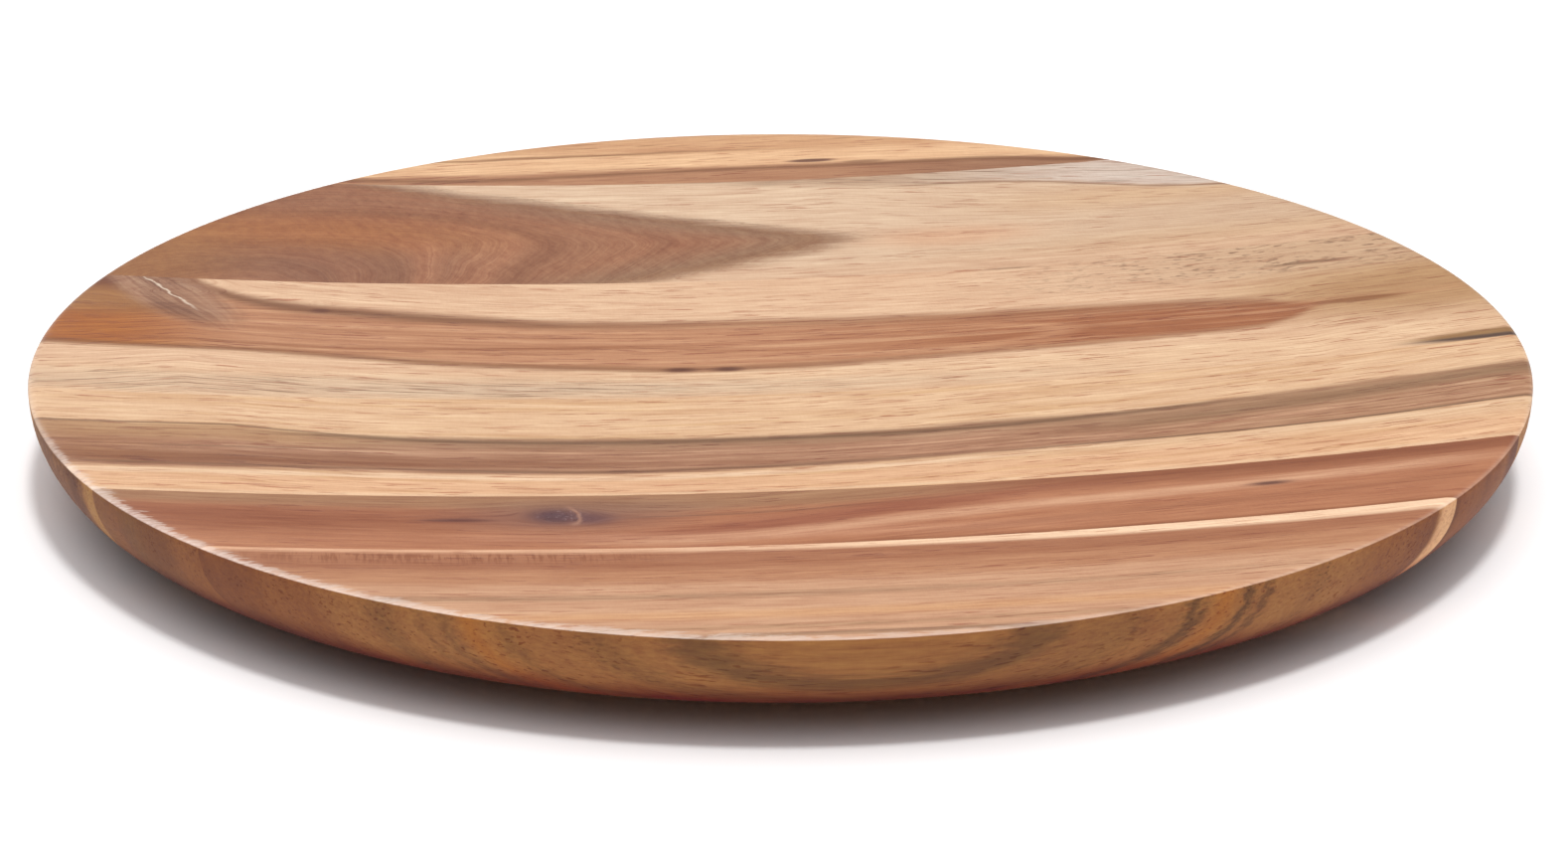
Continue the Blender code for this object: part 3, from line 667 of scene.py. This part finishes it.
def wood_6():
    """Salmon to pinkish tan, with a pale sapwood line on the glue line and grey rings in front."""
    w = Wood("acacia_6", 110)
    edge = w.curve((-150, -148.6), (0, -149.6), (100, -151.6), (180, -152.8))
    colour = w.mix(wood(0.72, 0.50, 0.38), wood(0.785, 0.57, 0.435), w.below(-163.5, 8))
    colour = w.mix(colour, wood(0.865, 0.675, 0.54), w.below(-177, 9))
    colour = w.mix(colour, wood(0.66, 0.43, 0.32), w.line(-160.0, 7) * 0.3)
    greyer = w.line(-189.0, 9) * (1.0 - w.right_of(40, 120) * 0.6)
    colour = w.mix(colour, wood(0.74, 0.58, 0.46), greyer * 0.75)
    flecks = w.line(-188.0, 9) * 0.7
    colour = w.flecked(colour, wood(0.50, 0.37, 0.27), flecks, (15, 0.9, 0.9), 0.15)
    colour = w.mix(colour, wood(0.905, 0.70, 0.525), w.line(-206.0, 13) * 0.85)
    flecks = w.line(-216.5, 8) * 0.8
    colour = w.flecked(colour, wood(0.55, 0.39, 0.27), flecks, (12, 0.9, 0.9), 0.2, 41)
    colour = w.mix(colour, wood(0.72, 0.56, 0.43), w.line(-217.0, 6) * 0.5)
    colour = w.mix(colour, wood(0.60, 0.48, 0.38), w.line(-224.0, 6) * 0.7)
    rings = w.v + w.x * 0.015
    for y, width, strength in RINGS_IN_FRONT:
        near = 1.0 - ((rings - y + w.ragged).absolute() - width / 4).step(width / 2 + 1.0)
        fades = w.right_of(20, 140) * 0.5 + 0.5
        colour = w.mix(colour, wood(0.48, 0.37, 0.28), near * w.side * fades * strength)
    amber = (1.0 - ((rings + 204.5).absolute() - 1.2).step(3.0)) * w.side
    colour = w.mix(colour, wood(0.93, 0.66, 0.36), amber * 0.7)
    salmon = w.side * w.line(-166.0, 26)
    colour = w.mix(colour, wood(0.78, 0.56, 0.42), salmon * 0.5)
    ticks = w.noise((1.0, 14, 9), 2, 112, 0.6) * 1.2 + w.noise((9, 4, 9), 1, 113) * 0.4
    ticks = (ticks - 0.1).step(0.5) * w.line(-152.5, 17, 0.0) * w.along(-160, -60, 50)
    colour = w.mix(colour, wood(0.56, 0.34, 0.23), ticks * 0.6 * (1.0 - w.side))
    edge = edge - w.side * w.depth * 0.10 + w.side * w.left_of(-60, 80) * 9.0
    sap = w.mix(wood(0.92, 0.715, 0.575), wood(1.04, 0.895, 0.75), w.right_of(-20, 220))
    in_sap = w.above(edge, 3.6, 0.25)
    colour = w.mix(colour, sap, in_sap)
    w.pale_side = in_sap * w.right_of(40, 80)
    return w.finish_wood(colour, 0.05)


# ---------------------------------------------------------------- metals, nylon and rubber


def turned_aluminium():
    """Metal with the fine rings that a lathe leaves, in radius and height."""
    paint = Paint("turned_aluminium", Metallic=1.0, Anisotropic=0.4)
    radius = hypotenuse(paint.x, paint.y)
    rings = paint.noise((0.16, 40, 0.16), 3, 1, at=paint.vector(radius, 0.0, paint.z))
    cloud = paint.noise((18, 18, 18), 3, 2)
    scratches = (paint.noise((3.0, 0.25, 1.0), 2, 3) - 0.55).step(0.2)
    tint = paint.scaled(linear((0.84, 0.845, 0.85)), 0.97 + rings * 0.04 + cloud * 0.035)
    paint.bump(rings + scratches * 0.6, MACHINED_BUMP)
    return paint.finish(tint, 0.34 + rings * 0.05 + cloud * 0.06 + scratches * 0.08)


def plated_steel():
    paint = Paint("zinc_plate", Metallic=1.0)
    cloud = paint.noise((4, 4, 4), 3, 1)
    fine = paint.noise((0.35, 0.35, 0.35), 2, 2)
    tint = paint.mix(linear((0.80, 0.81, 0.82)), linear((0.80, 0.78, 0.66)), cloud * 0.5 + 0.4)
    paint.bump(fine, MACHINED_BUMP)
    return paint.finish(paint.scaled(tint, 0.95 + fine * 0.06), 0.30 + cloud * 0.08 + fine * 0.05)


def ball_steel():
    paint = Paint("polished_steel", Metallic=1.0)
    grease = paint.noise((3, 3, 3), 3, 1)
    tint = paint.scaled(linear((0.86, 0.86, 0.87)), 0.97 + grease * 0.05)
    return paint.finish(tint, 0.10 + grease * 0.06)


def moulded_nylon():
    paint = Paint("nylon", IOR=1.53)
    grit = paint.noise((0.25, 0.25, 0.25), 2, 1)
    cloud = paint.noise((9, 9, 9), 2, 2)
    tint = paint.scaled(linear((0.23, 0.23, 0.24)), 1.0 + grit * 0.12 + cloud * 0.10)
    paint.bump(grit, NYLON_BUMP)
    return paint.finish(tint, 0.48 + grit * 0.08)


def foot_rubber():
    paint = Paint("rubber", IOR=1.5)
    grit = paint.noise((0.35, 0.35, 0.35), 3, 1)
    dust = (paint.noise((5, 5, 5), 3, 2) + 0.1).step(1.2)
    tint = paint.mix(linear((0.17, 0.17, 0.17)), linear((0.30, 0.29, 0.28)), dust * 0.5)
    paint.bump(grit, RUBBER_BUMP)
    return paint.finish(paint.scaled(tint, 1.0 + grit * 0.2), 0.82 + grit * 0.08)


# ---------------------------------------------------------------- meshes


def put(name, data):
    """Adds an object to the scene."""
    thing = bpy.data.objects.new(name, data)
    bpy.context.scene.collection.objects.link(thing)
    return thing


def solid(name, bm, material):
    """An object of one material, from a mesh under construction, which is then freed."""
    mesh = bpy.data.meshes.new(name)
    bm.to_mesh(mesh)
    bm.free()
    mesh.materials.append(material)
    return put(name, mesh)


def ellipse_arc(centre, radii, start, end, steps):
    for i in range(steps + 1):
        angle = start + (end - start) * i / steps
        yield centre[0] + radii[0] * math.cos(angle), centre[1] + radii[1] * math.sin(angle)


def board_profile():
    """(radius, height) from the middle of the dish round the rim to the middle underneath."""
    flat = BOARD_RADIUS - RIM_ROUND_WIDTH
    lift = DISH_DEPTH / flat**2
    radii = [flat * i / DISH_RINGS for i in range(DISH_RINGS)]
    dish = [(r, RIM_TOP - DISH_DEPTH + lift * r * r) for r in radii]
    shoulder = RIM_TOP - RIM_ROUND_HEIGHT
    rim_size = (RIM_ROUND_WIDTH, RIM_ROUND_HEIGHT)
    rim = list(ellipse_arc((flat, shoulder), rim_size, math.pi / 2, 0, RIM_STEPS))
    fall = math.asin((shoulder - BOARD_BOTTOM) / UNDERCUT_HEIGHT)
    centre = (BOARD_RADIUS - UNDERCUT_WIDTH, shoulder)
    side = ellipse_arc(centre, (UNDERCUT_WIDTH, UNDERCUT_HEIGHT), 0, -fall, UNDERCUT_STEPS)
    under = [(r, BOARD_BOTTOM) for r in UNDERSIDE_RINGS]
    return dish + rim + list(side)[1:] + under + [(0.0, BOARD_BOTTOM)]


def turned_board():
    """The whole board as one closed solid."""
    bm = bmesh.new()
    rings = []
    for radius, height in board_profile():
        if radius == 0.0:
            rings.append([bm.verts.new((0.0, 0.0, height))])
            continue
        ring = []
        for i in range(BOARD_SEGMENTS):
            angle = math.tau * i / BOARD_SEGMENTS
            ring.append(bm.verts.new((radius * math.cos(angle), radius * math.sin(angle), height)))
        rings.append(ring)
    for upper, lower in zip(rings, rings[1:]):
        for i in range(BOARD_SEGMENTS):
            j = (i + 1) % BOARD_SEGMENTS
            if len(upper) == 1:
                bm.faces.new((upper[0], lower[i], lower[j]))
            elif len(lower) == 1:
                bm.faces.new((upper[j], upper[i], lower[0]))
            else:
                bm.faces.new((upper[i], lower[i], lower[j], upper[j]))
    return bm


def keep_side(bm, y, direction):
    """Saws the solid at y, keeps the side that direction points to, and closes the cut."""
    everything = bm.verts[:] + bm.edges[:] + bm.faces[:]
    cut = bmesh.ops.bisect_plane(
        bm, geom=everything, plane_co=(0, y, 0), plane_no=(0, -direction, 0), clear_outer=True
    )
    edges = [item for item in cut["geom_cut"] if isinstance(item, bmesh.types.BMEdge)]
    bmesh.ops.contextual_create(bm, geom=edges)


def stave_piece(name, blank, front, rear, material):
    bm = blank.copy()
    if front is not None:
        keep_side(bm, front, 1)
    if rear is not None:
        keep_side(bm, rear, -1)
    bmesh.ops.recalc_face_normals(bm, faces=bm.faces)
    piece = solid(name, bm, material)
    piece.data.shade_smooth()
    piece.data.set_sharp_from_angle(angle=math.radians(SHARP_ANGLE))
    return piece


def make_board():
    """Six staves that meet on their glue lines."""
    paints = (wood_1, wood_2, wood_3, wood_4, wood_5, wood_6)
    blank = turned_board()
    neighbours = zip(STAVES, STAVES[1:])
    glue = [(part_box(rear)[0][1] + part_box(front)[1][1]) / 2 for rear, front in neighbours]
    for node, paint, rear, front in zip(STAVES, paints, [None, *glue], [*glue, None]):
        piece = stave_piece(f"wood_{node}", blank, front, rear, paint())
        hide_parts(node)
        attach(piece, "turntable")
    blank.free()


def finish_bearing():
    """Puts the finished materials on the frame's own metal, nylon and rubber pieces."""
    looks = {
        "bearing_ring": turned_aluminium(),
        "ball_feed_plug": plated_steel(),
        "ball_cage": moulded_nylon(),
        "ball_": ball_steel(),
        "foot_": foot_rubber(),
    }
    looks["board_screw"] = looks["ball_feed_plug"]
    for name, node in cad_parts.items():
        for start, material in looks.items():
            if name.startswith(start):
                node.data.materials.clear()
                node.data.materials.append(material)
                break


# ---------------------------------------------------------------- stage


def stage_piece(name, bm, settings):
    """A floor or backdrop of one matt material, which isn't part of the object."""
    material = bpy.data.materials.new(name)
    material.use_nodes = True
    shader = material.node_tree.nodes["Principled BSDF"]
    for key, value in {**MATT, **settings}.items():
        shader.inputs[key].default_value = value
    piece = solid(name, bm, material)
    return piece


def make_floor():
    bm = bmesh.new()
    bmesh.ops.create_grid(bm, x_segments=8, y_segments=8, size=FLOOR_SIZE)
    stage_piece("white_table", bm, {"Base Color": FLOOR_COLOUR})


def make_backdrop():
    """A pale dome that only the camera sees, so that it changes nothing about the light."""
    bm = bmesh.new()
    bmesh.ops.create_uvsphere(bm, u_segments=64, v_segments=32, radius=BACKDROP_RADIUS)
    lower_half = [vert for vert in bm.verts if vert.co.z < -0.01]
    bmesh.ops.delete(bm, geom=lower_half, context="VERTS")
    glow = {
        "Base Color": (0.0, 0.0, 0.0, 1.0),
        "Emission Color": BACKDROP_COLOUR,
        "Emission Strength": 1.0,
    }
    dome = stage_piece("pale_backdrop", bm, glow)
    dome.data.materials[0].cycles.emission_sampling = "NONE"
    for ray in ("diffuse", "glossy", "transmission", "volume_scatter", "shadow"):
        setattr(dome, f"visible_{ray}", False)


def make_sky():
    """A soft white dome, darkest at the horizon."""
    world = bpy.data.worlds.new("studio")
    bpy.context.scene.world = world
    world.use_nodes = True
    tree = world.node_tree
    background = tree.nodes["Background"]
    background.inputs["Color"].default_value = (*SKY_COLOUR, 1.0)
    where = tree.nodes.new("ShaderNodeTexCoord")
    split = tree.nodes.new("ShaderNodeSeparateXYZ")
    tree.links.new(where.outputs["Generated"], split.inputs[0])
    height = Value(tree, split.outputs["Z"]).absolute()
    plug(tree, height.math("POWER", SKY_POWER) * SKY_RISE + SKY_LOW, background.inputs["Strength"])


def add_lamp(name, kind, energy):
    light = bpy.data.lights.new(name, kind)
    light.energy = energy
    return put(name, light)


def make_light():
    """A round lamp overhead, a little in front, and a softbox at the rear left for the sheen."""
    make_sky()
    sun = add_lamp("overhead", "SUN", SUN)
    sun.data.angle = math.radians(SUN_ANGLE)
    sun.rotation_euler = (math.radians(SUN_FROM_FRONT), math.radians(SUN_FROM_RIGHT), 0.0)
    softbox = add_lamp("softbox", "AREA", SOFTBOX_POWER)
    softbox.data.size = SOFTBOX_SIZE
    softbox.location = SOFTBOX_PLACE
    softbox.rotation_euler = (-Vector(SOFTBOX_PLACE)).to_track_quat("-Z", "Y").to_euler()
    softbox.visible_diffuse = False
    softbox.visible_camera = False


def make_camera():
    """The photograph's view: over the front edge, from a little to the left."""
    centre = Vector((0.0, 0.0, RIM_TOP))
    elevation = math.radians(CAMERA_ELEVATION)
    turn = math.radians(CAMERA_AZIMUTH)
    back = Vector((-math.sin(turn), -math.cos(turn), 0.0)) * math.cos(elevation)
    back.z = math.sin(elevation)
    data = bpy.data.cameras.new("camera")
    data.lens = LENS
    data.sensor_width = SENSOR_WIDTH
    camera = put("camera", data)
    camera.location = centre + back * (CAMERA_DISTANCE * BOARD_RADIUS)
    aim = (-back).to_track_quat("-Z", "Y").to_matrix().to_4x4()
    tilt = Matrix.Rotation(math.radians(-CAMERA_TILT_DOWN), 4, "X")
    pan = Matrix.Rotation(math.radians(-CAMERA_TURN_RIGHT), 4, "Y")
    camera.rotation_euler = (aim @ pan @ tilt).to_euler()
    bpy.context.scene.camera = camera


def main():
    scene = bpy.context.scene
    scene.view_settings.view_transform = "Standard"
    make_camera()
    make_light()
    make_floor()
    make_backdrop()
    make_board()
    finish_bearing()


main()
